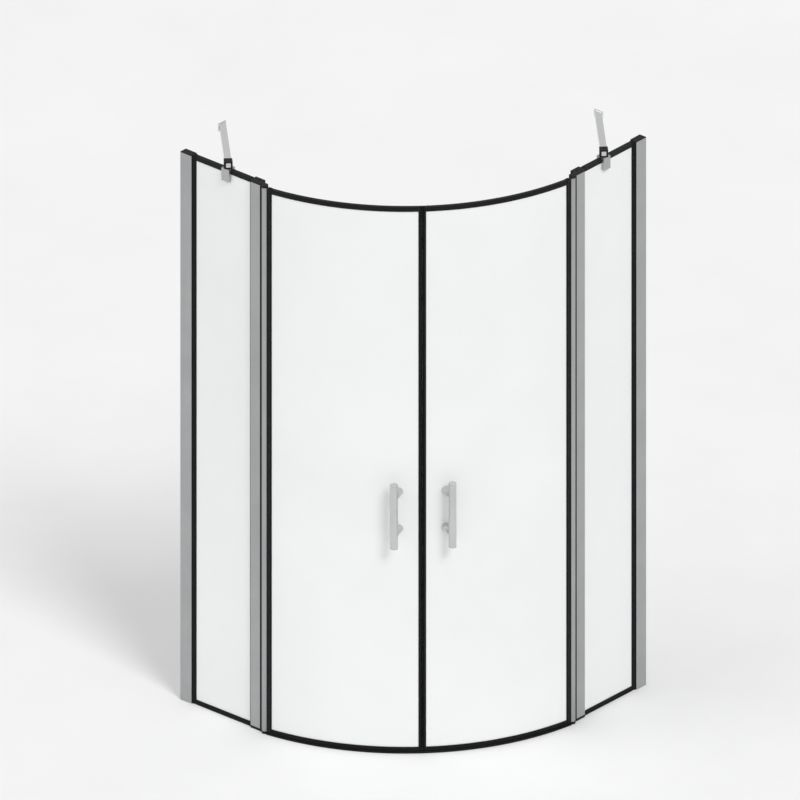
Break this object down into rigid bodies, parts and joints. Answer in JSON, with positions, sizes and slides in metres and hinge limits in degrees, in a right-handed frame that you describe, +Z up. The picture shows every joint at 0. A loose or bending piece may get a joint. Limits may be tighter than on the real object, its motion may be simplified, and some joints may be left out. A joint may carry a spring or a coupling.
{
  "type": "quadrant shower enclosure",
  "caption": "Corner shower enclosure with flat fixed panes on both walls and curved pivot doors that swing in and out and meet on the diagonal.",
  "frame": {"origin": "centre of the square footprint at floor level", "axes": "+Z up; the room corner is at -X, +Y; the walls are the planes x = -500 mm and y = +500 mm; the doors face +X and -Y"},
  "size_m": [1, 1, 1.8763],
  "materials": {
    "satin_aluminium": "satin anodised extrusion with fine draw lines",
    "satin_chrome": "satin chrome on brass and zinc fittings",
    "satin_glass": "8 mm toughened glass, white satin face",
    "black_rubber": "matt black seal rubber",
    "black_trim": "black edge trim",
    "black_nylon": "black glass-filled nylon, fine moulded texture",
    "stainless": "stainless steel fasteners and pins",
    "acetal": "white acetal bearing bush",
    "magnet": "bonded ferrite strip magnet"
  },
  "bodies": {
    "enclosure_frame": {"left_wall_channel": "satin_aluminium", "left_glazing_profile": "satin_aluminium", "left_wall_gasket": "black_rubber", "left_fixed_pane": "satin_glass", "left_sill_seal": "black_rubber", "left_pane_top_trim": "black_trim", "left_post_gasket": "black_rubber", "left_hinge_post": "satin_aluminium", "left_lip_seal": "black_rubber", "left_upper_pivot_bracket": "black_nylon", "left_lower_pivot_bracket": "black_nylon", "left_clamp_body": "satin_chrome", "left_clamp_pressure_plate": "stainless", "left_swivel_block": "black_nylon", "left_brace_arm": "satin_chrome", "left_wall_foot": "satin_chrome", "right_wall_channel": "satin_aluminium", "right_glazing_profile": "satin_aluminium", "right_wall_gasket": "black_rubber", "right_fixed_pane": "satin_glass", "right_sill_seal": "black_rubber", "right_pane_top_trim": "black_trim", "right_post_gasket": "black_rubber", "right_hinge_post": "satin_aluminium", "right_lip_seal": "black_rubber", "right_upper_pivot_bracket": "black_nylon", "right_lower_pivot_bracket": "black_nylon", "right_clamp_body": "satin_chrome", "right_clamp_pressure_plate": "stainless", "right_swivel_block": "black_nylon", "right_brace_arm": "satin_chrome", "right_wall_foot": "satin_chrome", "profile_caps": "black_nylon", "frame_screws": "stainless", "pivot_pins": "stainless", "clamp_pads": "black_rubber", "clamp_screws": "stainless", "threshold": "black_rubber"},
    "left_door": {"left_door_stile": "satin_aluminium", "left_pivot_bushes": "acetal", "left_stile_gasket": "black_rubber", "left_door_pane": "satin_glass", "left_magnet_seal": "black_rubber", "left_magnet_strip": "magnet", "left_drip_seal": "black_rubber", "left_door_top_trim": "black_trim", "left_handle_bar": "satin_chrome", "left_handle_feet": "satin_chrome", "left_handle_studs": "satin_chrome"},
    "right_door": {"right_door_stile": "satin_aluminium", "right_pivot_bushes": "acetal", "right_stile_gasket": "black_rubber", "right_door_pane": "satin_glass", "right_magnet_seal": "black_rubber", "right_magnet_strip": "magnet", "right_drip_seal": "black_rubber", "right_door_top_trim": "black_trim", "right_handle_bar": "satin_chrome", "right_handle_feet": "satin_chrome", "right_handle_studs": "satin_chrome"}
  },
  "joints": [
    {"name": "left_door_hinge", "type": "hinge", "parent": "enclosure_frame", "child": "left_door", "pos_m": [-0.164, -0.49, 0.925], "axis": [0, 0, -1], "range_deg": [-90, 90]},
    {"name": "right_door_hinge", "type": "hinge", "parent": "enclosure_frame", "child": "right_door", "pos_m": [0.49, 0.164, 0.925], "axis": [0, 0, 1], "range_deg": [-90, 90]}
  ]
}
